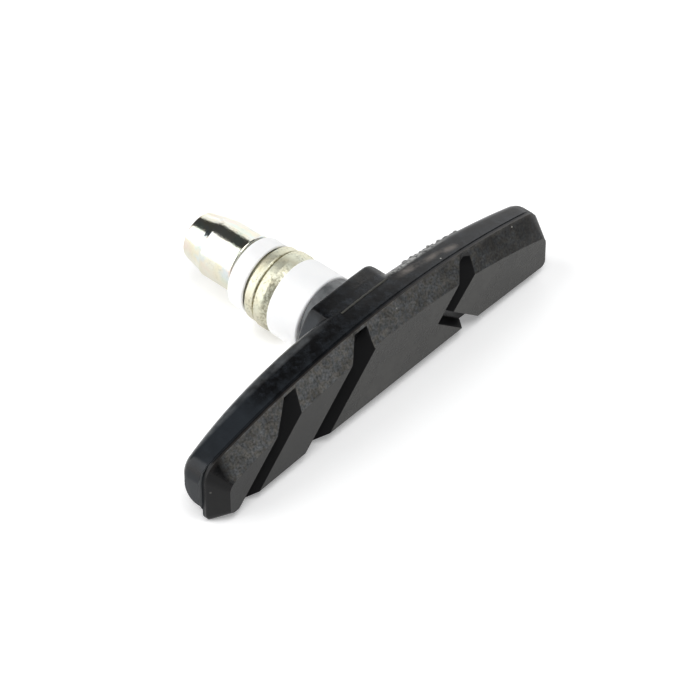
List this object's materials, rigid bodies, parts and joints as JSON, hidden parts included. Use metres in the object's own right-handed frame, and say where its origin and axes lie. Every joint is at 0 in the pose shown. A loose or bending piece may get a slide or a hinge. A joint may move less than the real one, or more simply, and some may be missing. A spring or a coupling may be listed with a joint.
{
  "type": "bicycle rim brake pad",
  "caption": "Arched rubber rim brake shoe with bevelled, grooved friction face and a threaded stud carrying cup and dome washers and a cone-nosed nut with two flats.",
  "frame": {"origin": "where the stud's axis meets the friction face", "axes": "+X along the shoe, +Y along the stud from the friction face towards the nut, +Z towards the arched edge of the shoe"},
  "size_m": [0.0708, 0.0371, 0.0146],
  "materials": {
    "rubber": "matte moulded rubber",
    "plain_steel": "plain rolled steel",
    "zinc_steel": "pale yellow zinc plating",
    "white_nylon": "satin moulded nylon"
  },
  "bodies": {
    "root": {"rubber_shoe": "rubber", "backing_plate": "plain_steel", "threaded_stud": "zinc_steel", "thick_cup_washer": "white_nylon", "inner_dome_washer": "zinc_steel", "outer_dome_washer": "zinc_steel", "thin_cup_washer": "white_nylon", "cone_nut": "zinc_steel"}
  },
  "joints": []
}
